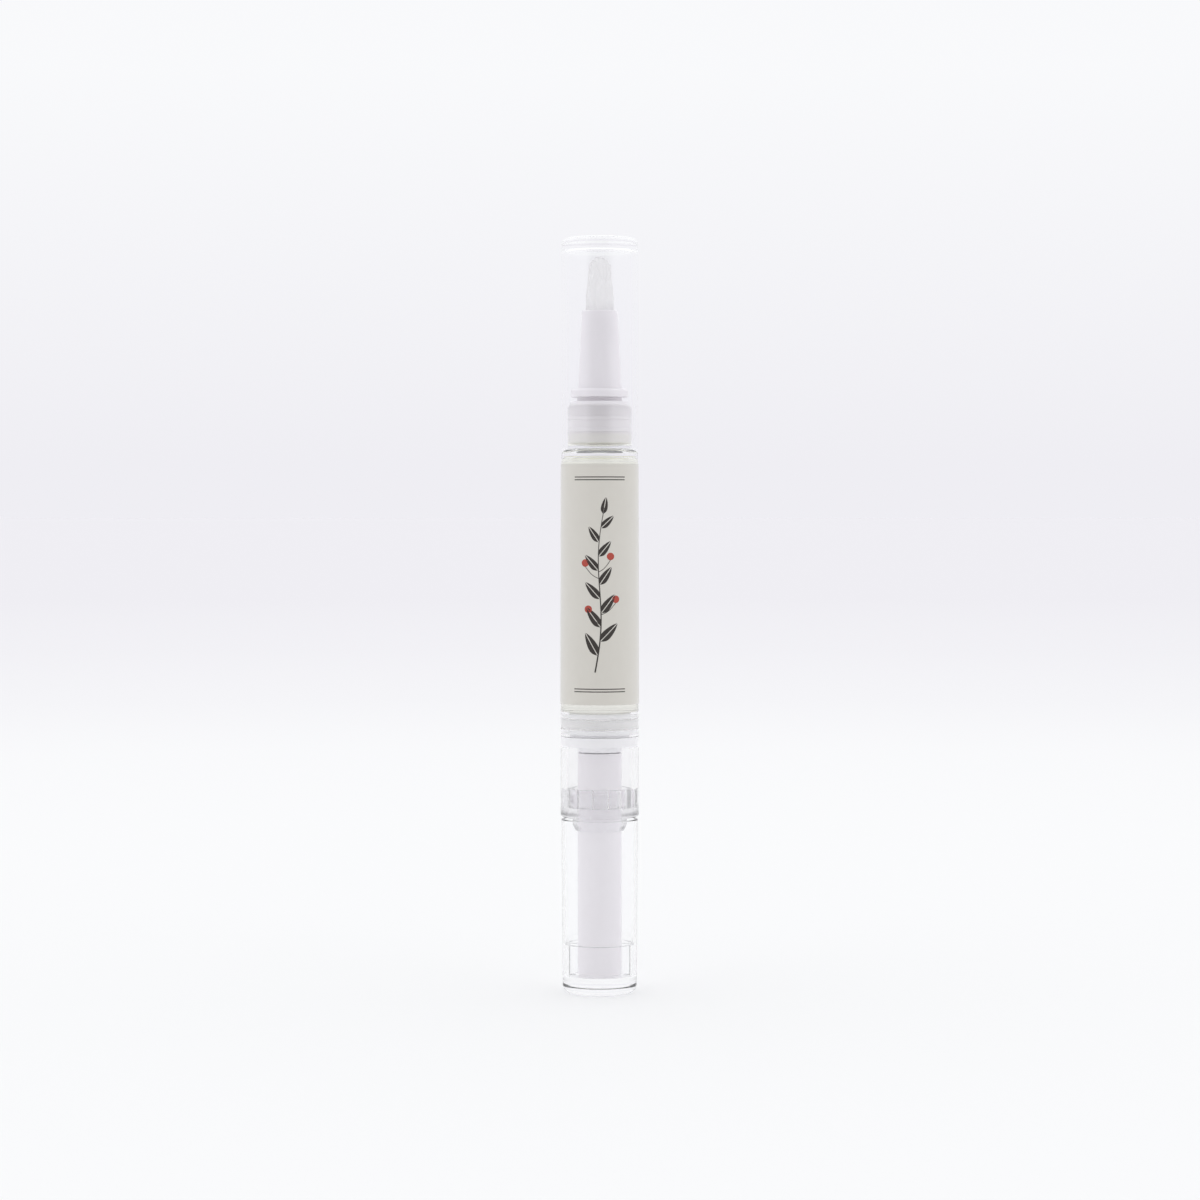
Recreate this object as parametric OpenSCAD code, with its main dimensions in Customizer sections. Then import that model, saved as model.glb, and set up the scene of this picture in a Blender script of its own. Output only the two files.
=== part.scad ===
// Twist-up oil pen with a brush, standing on its turning knob. All lengths are in millimetres.
// The origin is the middle of the base and +Z runs up the pen's axis, from the knob to the cap.

/* [Screw and sleeve] */
// Outer diameter of the screw's thread
screw_d = 4.6; // [4.2:0.05:5]
// Depth of the screw's thread
thread_depth = 0.55; // [0.4:0.05:0.6]
// Depth of the two flats on the screw
flat_depth = 0.5; // [0.4:0.05:0.6]
// Advance of the screw in one turn
screw_lead = 3; // [2:0.1:4]
// Wall of the sleeve that turns the screw
sleeve_wall = 1.25; // [1.1:0.05:1.6]
// Wall of the nut round the screw's thread
nut_wall = 0.56; // [0.4:0.02:0.7]
// Length of the nut's nose inside the sleeve
nut_nose_l = 1.7; // [1:0.1:2.5]
// Height of the nut's hub between its flange and the sleeve
nut_hub_l = 0.9; // [0.6:0.1:1.5]
// Thickness of the nut's flange, with its rim
nut_flange_t = 1.6; // [1.2:0.1:2]
// Depth of the dish in the nut's flange that takes the piston's tail
nut_dish_l = 0.7; // [0.4:0.05:0.9]

/* [Ratchet] */
// Number of clicks in a turn
click_count = 12; // [8:1:16]
// Depth of the bush's inner teeth
click_depth = 0.35; // [0.2:0.05:0.5]
// Thickness of the click ring round the sleeve
click_ring_t = 0.3; // [0.2:0.05:0.5]
// Height of the click ring
click_ring_l = 2.2; // [1.6:0.1:3]
// Number of spring arms on the click ring
click_arms = 3; // [2:1:4]
// Thickness of a spring arm
click_arm_t = 0.2; // [0.15:0.01:0.3]
// Wall of the bush outside its teeth
bush_wall = 0.58; // [0.4:0.02:0.8]
// Thickness of the bush's floor under the click ring
bush_floor_t = 1.6; // [1:0.1:2.5]
// Length of the bush's spigot below the barrel's tail
bush_spigot_l = 2.3; // [1.5:0.1:3]
// Wall of the bush's spigot round the sleeve
bush_spigot_wall = 0.75; // [0.6:0.05:0.9]

/* [Barrel] */
// Length of the barrel from its tail to its shoulder
barrel_l = 60.7; // [56:0.1:75]
// Wall of the barrel's tail
tail_wall = 1.1; // [0.8:0.05:1.4]
// Rounding of the tail's outer edge
tail_round = 0.45; // [0.1:0.05:0.6]
// Narrowing of the barrel's radius from its tail to its shoulder
barrel_draft = 0.15; // [0:0.05:0.3]
// Depth of the tail's bore, up to the step that the nut meets
tail_bore_l = 13.3; // [12:0.1:18]
// Width of the step between the tail's bore and the oil chamber
chamber_step = 0.2; // [0.1:0.05:0.4]
// Rounding of the shoulder
shoulder_round = 0.7; // [0.3:0.05:0.8]
// Height of the neck above the shoulder
neck_h = 7.4; // [6:0.1:10]
// Wall of the neck
neck_wall = 1.3; // [1:0.05:1.5]
// Running gap between the knob's rim and the barrel's tail
turn_gap = 0.4; // [0.2:0.05:0.8]

/* [Knob] */
// Height of the turning knob
knob_h = 28.9; // [22:0.1:34]
// Step from the barrel's tail in to the knob's rim
knob_step = 0.15; // [0:0.05:0.3]
// Narrowing of the knob's radius from its rim to its foot
knob_draft = 0.2; // [0:0.05:0.4]
// Wall of the knob above its socket
knob_wall = 0.5; // [0.4:0.05:0.7]
// Thickness of the knob's solid floor
knob_floor = 3; // [1.5:0.1:4]
// Rounding of the edge that the pen stands on
foot_round = 1.4; // [0.3:0.1:1.8]
// Height of the ribbed socket above the floor
socket_h = 5.2; // [3:0.1:8]
// Wall of the knob round its socket
socket_wall = 1; // [0.8:0.05:1.3]
// Number of ribs that grip the sleeve
socket_ribs = 2; // [2:1:6]
// Depth of the sleeve's slots for the ribs
slot_depth = 0.4; // [0.3:0.05:0.6]

/* [Brush] */
// Number of bristles
bristle_count = 320; // [300:1:360]
// Diameter of the tuft in the nozzle
tuft_d = 4.6; // [4:0.05:5.2]
// Narrowing of the tuft's radius towards its tips
tuft_taper = 0.5; // [0.2:0.05:0.8]
// Length of the tuft that stands out of the nozzle
tuft_out_l = 9; // [6:0.1:9.5]
// Height by which the tips' dome rises from its edge to its middle
tuft_dome = 1.3; // [0:0.1:2]
// Outer diameter of the feed tube
feed_tube_d = 1.7; // [1.4:0.05:2]
// Wall of the feed tube
feed_tube_wall = 0.35; // [0.2:0.05:0.5]

/* [Brush holder] */
// Length of the nozzle above its flange
nozzle_l = 12.95; // [11.5:0.05:13.5]
// Wall of the nozzle at its mouth
nozzle_wall = 0.55; // [0.4:0.05:0.8]
// Widening of the nozzle's radius from its mouth to its flange
nozzle_draft = 0.65; // [0.3:0.05:0.8]
// Depth of the tuft's seat below the mouth
nozzle_bore_l = 10; // [8:0.1:11]
// Step from the neck's bore in to the nozzle's foot
nozzle_step = 0.35; // [0.3:0.05:0.6]
// Thickness of the flange
flange_t = 1.35; // [0.8:0.05:2]
// Step from the neck in to the flange
flange_step = 0.5; // [0.3:0.05:0.8]
// Width of the groove under the flange
groove_w = 0.7; // [0.4:0.05:1.2]
// Thickness of the collar that rests on the neck
seat_t = 0.6; // [0.4:0.05:1]
// Length of the plug inside the neck
plug_l = 6.4; // [5.4:0.1:7]
// Wall of the plug between its ribs
plug_wall = 0.8; // [0.6:0.05:1.2]

/* [Cap] */
// Room between the brush's tips and the inside of the closed end
cap_room = 1; // [0.5:0.1:4]
// Step from the barrel's shoulder in to the cap
cap_step = 0.05; // [0:0.01:0.2]
// Gap all round between the cap and the neck, which the neck's bead takes up
cap_gap = 0.17; // [0.1:0.01:0.3]
// Thickness of the cap's closed end
cap_end_t = 2; // [1:0.1:2.4]
// Rounding of the closed end's edge
cap_round = 1.1; // [0.4:0.1:1.6]

/* [Label] */
// Height of the label
label_h = 39.6; // [20:0.1:42]
// Distance from the shoulder down to the label's top edge
label_drop = 2.3; // [1.5:0.1:4]
// Thickness of the label
label_t = 0.08; // [0.05:0.01:0.2]
// Angle that the label wraps round the barrel
label_wrap_deg = 330; // [180:1:350]

/* [Piston] */
// Thickness of the crown above its waist, with the sealing lip
crown_t = 1.2; // [1:0.05:1.6]
// Height of the waist between the lips
waist_h = 1.5; // [1.3:0.05:2.5]
// Depth of the waist below the lips
waist_depth = 0.65; // [0.3:0.05:0.8]
// Thickness of the lower sealing lip
lower_lip_t = 1; // [0.8:0.05:1.3]
// Length of the piston's tail under the lower lip
piston_tail_l = 1; // [0.7:0.05:1.3]
// Step from the chamber's wall in to the piston's tail
piston_tail_step = 0.3; // [0.2:0.05:0.5]

/* [Fits] */
// Gap between pieces that are pressed or glued together
fit_gap = 0.02; // [0.01:0.01:0.03]
// Gap all round between pieces that turn or slide in each other
run_gap = 0.1; // [0.05:0.01:0.12]
// Gap between the piston's lips and the chamber
lip_gap = 0.05; // [0.02:0.01:0.08]
// Gap between pieces that meet end to end on different bodies
end_gap = 0.1; // [0.08:0.01:0.15]
// Gap of the screw's thread in the nut
thread_gap = 0.14; // [0.1:0.01:0.16]

/* [Hidden] */
$fn = 96;

// Overrun of every cut past the face that it opens
over = 0.1;

// Diameters of the mechanism, from the screw out to the barrel and the knob
screw_core_d = screw_d - 2 * thread_depth;
screw_flats = screw_d - 2 * flat_depth;
sleeve_d = screw_d + 2 * (run_gap + sleeve_wall);
nut_nose_d = screw_d + 2 * (thread_gap + nut_wall);
click_arm_gap = 0.12;
click_tip_gap = 0.16;
click_ring_d = sleeve_d + 2 * (fit_gap + click_ring_t);
click_arm_d = click_ring_d + 2 * (click_arm_gap + click_arm_t);
click_tip_d = click_arm_d + 2 * click_tip_gap;
bush_d = click_tip_d + 2 * (click_depth + bush_wall);
bush_bore_d = sleeve_d + 2 * run_gap;
bush_spigot_d = bush_bore_d + 2 * bush_spigot_wall;
tail_bore_d = bush_d + 2 * fit_gap;
barrel_tail_d = tail_bore_d + 2 * tail_wall;
barrel_shoulder_d = barrel_tail_d - 2 * barrel_draft;
chamber_d = tail_bore_d - 2 * chamber_step;
knob_rim_d = barrel_tail_d - 2 * knob_step;
knob_foot_d = knob_rim_d - 2 * knob_draft;
cap_d = barrel_shoulder_d - 2 * cap_step;
piston_tail_d = chamber_d - 2 * piston_tail_step;

// Diameters of the brush end, from the tuft out to the cap's bore
tuft_gap = 0.15;
tuft_tip_d = tuft_d - 2 * tuft_taper;
nozzle_bore_d = tuft_d + 2 * tuft_gap;
nozzle_mouth_d = nozzle_bore_d + 2 * nozzle_wall;
nozzle_foot_d = nozzle_mouth_d + 2 * nozzle_draft;
neck_bore_d = nozzle_foot_d + 2 * nozzle_step;
neck_d = neck_bore_d + 2 * neck_wall;
cap_bore_d = neck_d + 2 * cap_gap;
flange_d = neck_d - 2 * flange_step;
seat_step = 0.35;
seat_d = neck_d - 2 * seat_step;
groove_step = 0.3;
groove_d = neck_bore_d - 2 * groove_step;
plug_relief = 0.2;
plug_core_d = neck_bore_d - 2 * plug_relief;
plug_bore_d = plug_core_d - 2 * plug_wall;

// Heights of the joints between the pieces, counted up from the base
tail_z = knob_h + turn_gap;
step_z = tail_z + tail_bore_l;
shoulder_z = tail_z + barrel_l;
neck_z = shoulder_z + neck_h;
cap_z = shoulder_z + end_gap;

// Oil chamber: the roof slopes in from the chamber to the neck's bore, under the shoulder
roof_h = 0.7;
roof_cover = 1.3;
roof_z = shoulder_z - roof_cover - roof_h;
oil_neck_l = 0.35;
neck_edge = 0.3;
neck_bead = 0.06;
neck_bead_w = 0.7;
neck_bead_drop = 1.1;

// Brush holder
groove_z = neck_z + seat_t;
flange_z = groove_z + groove_w;
nozzle_z = flange_z + flange_t;
mouth_z = nozzle_z + nozzle_l;
tuft_seat_z = mouth_z - nozzle_bore_l;
plug_z = neck_z - plug_l;
plug_rib_w = 0.7;
plug_rib_shares = [0.3, 0.62];
plug_web_drop = 0.75;
flange_edge = 0.25;
mouth_edge = 0.2;

// Tuft: a collar, the slice that the bristles are fused to, and the bristles.
// A bristle's thickness is a share of the spacing, so bristles never meet.
collar_l = 2.2;
slice_t = 0.8;
slice_z = tuft_seat_z + collar_l;
tuft_room_d = feed_tube_d + 4 * run_gap;
root_spacing = sqrt(PI / 4 * (tuft_d * tuft_d - tuft_room_d * tuft_room_d) / bristle_count);
tip_spacing = sqrt(PI / 4 * tuft_tip_d * tuft_tip_d / bristle_count);
root_share = 0.74;
tip_share = 0.45;
bristle_root_d = root_share * root_spacing;
bristle_tip_d = tip_share * tip_spacing;
bristle_sides = 3;
bristle_embed = 0.4;
bristle_turn_deg = 137.508;
tuft_top_z = mouth_z + tuft_out_l;
feed_tube_out_l = 2;
feed_top_z = mouth_z + feed_tube_out_l;
feed_foot_z = plug_z + plug_l / 2;

// Cap
cap_bore_top_z = tuft_top_z + cap_room;
cap_top_z = cap_bore_top_z + cap_end_t;

// Nut, piston and screw
dish_z = step_z - nut_dish_l;
nut_flange_z = step_z - nut_flange_t;
nut_hub_z = nut_flange_z - nut_hub_l;
nut_nose_z = nut_hub_z - nut_nose_l;
piston_z = dish_z + end_gap;
lower_lip_z = piston_z + piston_tail_l;
waist_z = lower_lip_z + lower_lip_t;
crown_z = waist_z + waist_h;
piston_top_z = crown_z + crown_t;
lip_d = chamber_d - 2 * lip_gap;
lip_edge = 0.25;
journal_step = 0.45;
journal_d = screw_core_d - 2 * journal_step;
head_d = screw_core_d;
head_l = 1.2;
screw_foot_gap = 0.5;
screw_foot_z = knob_floor + screw_foot_gap;
screw_top_z = piston_z - end_gap / 2;
head_z = waist_z - end_gap;
thread_shares = [0, 0.4, 0.57, 0.83];
thread_columns = 20;

// Sleeve
sleeve_top_z = nut_hub_z - 2 * end_gap;
sleeve_step_z = nut_nose_z - 2 * end_gap;
sleeve_foot_edge = 0.3;
socket_top_z = knob_floor + socket_h;
rib_w = 0.6;

// Ratchet
bush_room = 0.7;
bush_floor_z = tail_z + bush_floor_t;
click_ring_z = bush_floor_z + 2 * end_gap;
bush_top_z = click_ring_z + click_ring_l + bush_room;
bush_spigot_z = tail_z - bush_spigot_l;
bush_spigot_edge = 0.5;
click_arm_deg = 75;
click_root_deg = 14;

// Radius of a cone at a height, from its radii at two heights
function cone_r(z, z0, r0, z1, r1) = r0 + (r1 - r0) * (z - z0) / (z1 - z0);

// Radius of the barrel's outside at a height
function barrel_r(z) = cone_r(z, tail_z, barrel_tail_d / 2, shoulder_z, barrel_shoulder_d / 2);

// Points along a quarter round of radius r about a centre, from one angle to another
function round_points(centre, r, from, to, steps = 8) = [
    for (i = [0 : steps])
        let (a = from + (to - from) * i / steps)
        centre + r * [cos(a), sin(a)]
];

// Turned piece from an outline of [radius, height] points
module turned(points) {
    rotate_extrude()
        polygon(points);
}

// Round tube between two heights
module tube(z, length, outer_d, inner_d) {
    turned([
        [inner_d / 2, z],
        [outer_d / 2, z],
        [outer_d / 2, z + length],
        [inner_d / 2, z + length]
    ]);
}

// Radius of a thread at a height above the start of its root, which repeats with each lead
function thread_r(u, rows, core_r, crest_r) =
    let (v = u - screw_lead * floor(u / screw_lead))
    lookup(v, [[0, core_r], [rows[1], core_r], [rows[2], crest_r], [rows[3], crest_r], [screw_lead, core_r]]);

// Angles of the mesh's columns round a screw: even ones, and for flats the corner of each flat as well
function even_columns(n) = [for (i = [0 : n - 1]) 360 * i / n];
function flat_columns(corner) =
    let (arc = (90 - corner) / 3, half = [0, corner / 2, corner, corner + arc, corner + 2 * arc, 90])
    [
        for (side = [0, 180])
            each concat([for (a = half) side + a], [for (i = [4 : -1 : 1]) side + 180 - half[i]])
    ];

// Right-hand thread as one closed mesh, whose rows follow the helix and stop flat at both ends.
// Every thread counts its turns from the screw's foot, so that screw and nut mesh.
module threaded_rod(z0, z1, rows, core_r, crest_r, columns, flat_r) {
    n = len(columns);
    start = screw_foot_z + screw_lead * (floor((z0 - screw_foot_z) / screw_lead) - 2);
    count = 4 * (ceil((z1 - z0) / screw_lead) + 5);
    raw = [for (k = [0 : count - 1]) start + screw_lead * floor(k / 4) + rows[k % 4]];
    rise = [for (a = columns) screw_lead * a / 360];
    low = [for (j = [0 : n - 1]) max([for (k = [0 : count - 1]) if (raw[k] + rise[j] <= z0) k])];
    high = [for (j = [0 : n - 1]) min([for (k = [0 : count - 1]) if (raw[k] + rise[j] >= z1) k])];
    points = [
        for (k = [0 : count - 1])
            for (j = [0 : n - 1])
                let (
                    z = min(max(raw[k] + rise[j], z0), z1),
                    r = thread_r(z - start - rise[j], rows, core_r, crest_r),
                    a = columns[j],
                    edge = min(r, flat_r / max(abs(cos(a)), flat_r / crest_r))
                )
                [edge * cos(a), edge * sin(a), z]
    ];
    foot = len(points);
    function index(k, j) = j == n ? index(k + 4, 0) : n * min(max(k, low[j]), high[j]) + j;
    sides = [
        for (k = [0 : count - 2])
            for (j = [0 : n - 1])
                let (a = index(k, j), b = index(k + 1, j), c = index(k + 1, j + 1), d = index(k, j + 1))
                each [[a, b, c], [a, c, d]]
    ];
    faces = concat(
        [for (f = sides) if (f[0] != f[1] && f[1] != f[2] && f[2] != f[0]) f],
        [for (j = [0 : n - 1]) [foot, index(0, j), index(0, (j + 1) % n)]],
        [for (j = [0 : n - 1]) [foot + 1, index(count - 1, (j + 1) % n), index(count - 1, j)]]
    );
    polyhedron(concat(points, [[0, 0, z0], [0, 0, z1]]), faces);
}

// Clear push-on cap with a thick closed end
module cap() {
    inner_round = cap_round / 2;
    color([0.93, 0.95, 0.96, 0.35])
        turned(concat(
            [[cap_bore_d / 2, cap_z], [cap_d / 2, cap_z]],
            round_points([cap_d / 2 - cap_round, cap_top_z - cap_round], cap_round, 0, 90),
            [[0, cap_top_z], [0, cap_bore_top_z]],
            round_points([cap_bore_d / 2 - inner_round, cap_bore_top_z - inner_round], inner_round, 90, 0)
        ));
}

// Corner of a bristle's section at one of its three levels: root, end of the feed tube and tip.
// Roots leave the middle free for the feed tube, and past its end the bristles close in to fill it.
function bristle_corner(i, level, side) =
    let (
        share = (i + 0.5) / bristle_count,
        inner = (tuft_room_d + bristle_root_d) / 2,
        outer = (tuft_d - bristle_root_d) / 2,
        root_r = sqrt(inner * inner + (outer * outer - inner * inner) * share),
        tip_r = (tuft_tip_d - bristle_tip_d) / 2 * sqrt(share),
        r = [root_r, root_r, tip_r][level],
        z = [slice_z + slice_t - bristle_embed, feed_top_z, tuft_top_z - tuft_dome * share][level],
        d = [bristle_root_d, bristle_root_d, bristle_tip_d][level],
        a = i * bristle_turn_deg,
        turn = a + 360 * side / bristle_sides
    )
    [r * cos(a) + d / 2 * cos(turn), r * sin(a) + d / 2 * sin(turn), z];

// Tuft of tapered bristles, fused to the slice that their roots were melted into
module brush_bristles() {
    n = bristle_sides;
    levels = 3;
    each_count = n * levels;
    points = [
        for (i = [0 : bristle_count - 1])
            for (level = [0 : levels - 1])
                for (side = [0 : n - 1])
                    bristle_corner(i, level, side)
    ];
    faces = [
        for (i = [0 : bristle_count - 1])
            let (p = i * each_count, q = p + each_count - n)
            each concat(
                [[p, p + 1, p + 2], [q, q + 2, q + 1]],
                [
                    for (level = [0 : levels - 2])
                        for (side = [0 : n - 1])
                            let (
                                a = p + level * n + side,
                                d = p + level * n + (side + 1) % n
                            )
                            each [[a, a + n, d + n], [a, d + n, d]]
                ]
            )
    ];
    color([0.78, 0.77, 0.72]) {
        polyhedron(points, faces);
        tube(slice_z, slice_t, nozzle_bore_d - 2 * fit_gap, feed_tube_d + 2 * fit_gap);
    }
}

// Ring that wedges the tuft's root in the nozzle
module brush_collar() {
    color([0.9, 0.9, 0.88])
        tube(tuft_seat_z, collar_l, nozzle_bore_d - 2 * fit_gap, feed_tube_d + 2 * fit_gap);
}

// Thin tube that leads the oil into the tuft
module feed_tube() {
    color([0.92, 0.92, 0.9])
        tube(feed_foot_z, feed_top_z - feed_foot_z, feed_tube_d, feed_tube_d - 2 * feed_tube_wall);
}

// White nozzle with its flange, groove, collar on the neck and ribbed plug in the neck
module brush_holder() {
    rib_d = neck_bore_d - 2 * fit_gap;
    web_z = neck_z - plug_web_drop;
    color([0.96, 0.96, 0.97])
        difference() {
            union() {
                turned([
                    [0, plug_z],
                    [plug_core_d / 2, plug_z],
                    [plug_core_d / 2, neck_z],
                    [seat_d / 2, neck_z],
                    [seat_d / 2, groove_z],
                    [groove_d / 2, groove_z],
                    [groove_d / 2, flange_z],
                    [flange_d / 2, flange_z],
                    [flange_d / 2, nozzle_z - flange_edge],
                    [flange_d / 2 - flange_edge, nozzle_z],
                    [nozzle_foot_d / 2, nozzle_z],
                    [nozzle_mouth_d / 2, mouth_z - mouth_edge],
                    [nozzle_mouth_d / 2 - mouth_edge, mouth_z],
                    [0, mouth_z]
                ]);
                for (share = plug_rib_shares)
                    translate([0, 0, plug_z + plug_l * share])
                        cylinder(h = plug_rib_w, d = rib_d);
            }
            translate([0, 0, tuft_seat_z])
                cylinder(h = nozzle_bore_l + over, d = nozzle_bore_d);
            translate([0, 0, plug_z - over])
                cylinder(h = mouth_z - plug_z, d = feed_tube_d + 2 * fit_gap);
            translate([0, 0, plug_z - over])
                cylinder(h = web_z - plug_z + over, d = plug_bore_d);
        }
}

// Clear barrel: wide bore in the tail, oil chamber, sloping roof and necked top
module barrel() {
    bead_z = neck_z - neck_bead_drop;
    tail_r = barrel_tail_d / 2;
    shoulder_r = barrel_shoulder_d / 2;
    color([0.93, 0.96, 0.95, 0.35])
        turned(concat(
            [[tail_bore_d / 2, tail_z]],
            round_points([tail_r - tail_round, tail_z + tail_round], tail_round, -90, 0),
            round_points([shoulder_r - shoulder_round, shoulder_z - shoulder_round], shoulder_round, 0, 90),
            [
                [neck_d / 2, shoulder_z],
                [neck_d / 2, bead_z - neck_bead_w / 2],
                [neck_d / 2 + neck_bead, bead_z],
                [neck_d / 2, bead_z + neck_bead_w / 2],
                [neck_d / 2, neck_z - neck_edge],
                [neck_d / 2 - neck_edge, neck_z],
                [neck_bore_d / 2, neck_z],
                [neck_bore_d / 2, roof_z + roof_h],
                [chamber_d / 2, roof_z],
                [chamber_d / 2, step_z],
                [tail_bore_d / 2, step_z]
            ]
        ));
}

// Thin label wrapped round the barrel, with its seam at the back
module label() {
    top = shoulder_z - label_drop;
    foot = top - label_h;
    open_deg = 360 - label_wrap_deg;
    color([0.85, 0.84, 0.8])
        rotate([0, 0, 90 + open_deg / 2])
            rotate_extrude(angle = label_wrap_deg)
                polygon([
                    [barrel_r(foot) + fit_gap, foot],
                    [barrel_r(foot) + fit_gap + label_t, foot],
                    [barrel_r(top) + fit_gap + label_t, top],
                    [barrel_r(top) + fit_gap, top]
                ]);
}

// Oil between the piston and the neck, in whose bore it stands
module nail_oil() {
    top = roof_z + roof_h;
    oil_neck_r = neck_bore_d / 2 - fit_gap;
    color([0.85, 0.87, 0.6, 0.6])
        turned([
            [0, piston_top_z + fit_gap],
            [chamber_d / 2 - fit_gap, piston_top_z + fit_gap],
            [chamber_d / 2 - fit_gap, roof_z - fit_gap],
            [oil_neck_r, top - fit_gap],
            [oil_neck_r, top + oil_neck_l],
            [0, top + oil_neck_l]
        ]);
}

// Plunger with two sealing lips and a socket for the screw's head
module piston() {
    waist_r = lip_d / 2 - waist_depth;
    entry_r = journal_d / 2 + run_gap;
    socket_r = head_d / 2 + run_gap;
    socket_foot_z = head_z - run_gap;
    socket_end_z = head_z + head_l + run_gap;
    color([0.86, 0.88, 0.88, 0.8])
        turned([
            [entry_r, piston_z],
            [piston_tail_d / 2, piston_z],
            [piston_tail_d / 2, lower_lip_z],
            [lip_d / 2, lower_lip_z],
            [lip_d / 2, waist_z - lip_edge],
            [waist_r, waist_z],
            [waist_r, crown_z],
            [lip_d / 2, crown_z + lip_edge],
            [lip_d / 2, piston_top_z - lip_edge],
            [lip_d / 2 - lip_edge, piston_top_z],
            [0, piston_top_z],
            [0, socket_end_z],
            [socket_r, socket_end_z],
            [socket_r, socket_foot_z],
            [entry_r, socket_foot_z]
        ]);
}

// Threaded rod with two flats, and the head that turns in the piston
module drive_screw() {
    rows = [for (share = thread_shares) share * screw_lead];
    flat_r = screw_flats / 2;
    corner = acos(screw_flats / screw_d);
    head_edge = head_l / 3;
    color([0.94, 0.94, 0.95]) {
        threaded_rod(
            screw_foot_z, screw_top_z, rows, screw_core_d / 2, screw_d / 2, flat_columns(corner), flat_r
        );
        turned([
            [0, screw_top_z - over],
            [journal_d / 2, screw_top_z - over],
            [journal_d / 2, head_z],
            [head_d / 2, head_z],
            [head_d / 2, head_z + head_l - head_edge],
            [head_d / 2 - head_edge, head_z + head_l],
            [0, head_z + head_l]
        ]);
    }
}

// Fixed nut: rim against the barrel's step, dish for the piston's tail, hub and nose over the screw
module screw_nut() {
    rows = [
        thread_gap / 2,
        thread_shares[1] * screw_lead - thread_gap,
        thread_shares[2] * screw_lead - thread_gap,
        thread_shares[3] * screw_lead + thread_gap
    ];
    rim_r = tail_bore_d / 2 - fit_gap;
    dish_r = piston_tail_d / 2 + run_gap;
    core_r = screw_core_d / 2 + thread_gap;
    crest_r = screw_d / 2 + thread_gap;
    color([0.94, 0.95, 0.95])
        difference() {
            turned([
                [0, nut_nose_z],
                [nut_nose_d / 2, nut_nose_z],
                [nut_nose_d / 2, nut_hub_z],
                [sleeve_d / 2, nut_hub_z],
                [sleeve_d / 2, nut_flange_z],
                [rim_r, nut_flange_z],
                [rim_r, step_z - fit_gap],
                [dish_r, step_z - fit_gap],
                [dish_r, dish_z],
                [0, dish_z]
            ]);
            threaded_rod(
                nut_nose_z - over, dish_z + over, rows, core_r, crest_r, even_columns(thread_columns), crest_r
            );
        }
}

// Long sleeve whose bore has two flats that turn the screw, with slots in its foot for the knob's ribs
module driver_sleeve() {
    bore_r = screw_d / 2 + run_gap;
    flats = screw_flats + 2 * run_gap;
    slot_w = rib_w + 2 * fit_gap;
    color([0.97, 0.97, 0.98])
        difference() {
            turned([
                [0, knob_floor + fit_gap],
                [sleeve_d / 2 - sleeve_foot_edge, knob_floor + fit_gap],
                [sleeve_d / 2, knob_floor + fit_gap + sleeve_foot_edge],
                [sleeve_d / 2, sleeve_top_z],
                [0, sleeve_top_z]
            ]);
            for (i = [0 : socket_ribs - 1])
                rotate([0, 0, 360 * i / socket_ribs])
                    translate([sleeve_d / 2 - slot_depth, -slot_w / 2, knob_floor])
                        cube([slot_depth + over, slot_w, socket_h + run_gap]);
            translate([0, 0, knob_floor])
                linear_extrude(sleeve_top_z - knob_floor + over)
                    intersection() {
                        circle(r = bore_r);
                        square([flats, 3 * bore_r], center = true);
                    }
            translate([0, 0, sleeve_step_z])
                cylinder(h = sleeve_top_z - sleeve_step_z + over, r = nut_nose_d / 2 + run_gap);
        }
}

// Clear bush pressed in the barrel's tail, with inner teeth and a spigot into the knob
module ratchet_bush() {
    outer_r = bush_d / 2;
    spigot_r = bush_spigot_d / 2;
    tip_r = click_tip_d / 2;
    root_r = tip_r + click_depth;
    color([0.92, 0.95, 0.96, 0.5])
        difference() {
            turned([
                [bush_bore_d / 2, bush_spigot_z],
                [spigot_r - bush_spigot_edge, bush_spigot_z],
                [spigot_r, bush_spigot_z + 2 * bush_spigot_edge],
                [spigot_r, tail_z],
                [outer_r, tail_z],
                [outer_r, bush_top_z],
                [bush_bore_d / 2, bush_top_z]
            ]);
            translate([0, 0, bush_floor_z])
                rotate([0, 0, 180 / click_count])
                    linear_extrude(bush_top_z - bush_floor_z + over)
                        polygon([
                            for (i = [0 : click_count - 1])
                                let (a = 360 * i / click_count, pitch = 360 / click_count)
                                each [
                                    tip_r * [cos(a), sin(a)],
                                    root_r * [cos(a + pitch / 12), sin(a + pitch / 12)],
                                    root_r * [cos(a + pitch / 3), sin(a + pitch / 3)],
                                    tip_r / cos(pitch / 3) * [cos(a + pitch * 2 / 3), sin(a + pitch * 2 / 3)]
                                ]
                        ]);
        }
}

// Ring on the sleeve with spring arms, drawn pressed in as they are when they pass a tooth
module click_ring() {
    ring_r = click_ring_d / 2;
    arm_r = click_arm_d / 2;
    color([0.95, 0.95, 0.96])
        translate([0, 0, click_ring_z]) {
            tube(0, click_ring_l, click_ring_d, sleeve_d + 2 * fit_gap);
            for (i = [0 : click_arms - 1])
                rotate([0, 0, 360 * i / click_arms]) {
                    rotate_extrude(angle = click_arm_deg)
                        translate([arm_r - click_arm_t, click_ring_l / 4])
                            square([click_arm_t, click_ring_l / 2]);
                    rotate_extrude(angle = click_root_deg)
                        translate([ring_r - click_ring_t / 2, click_ring_l / 4])
                            square([arm_r - ring_r + click_ring_t / 2, click_ring_l / 2]);
                }
        }
}

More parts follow.
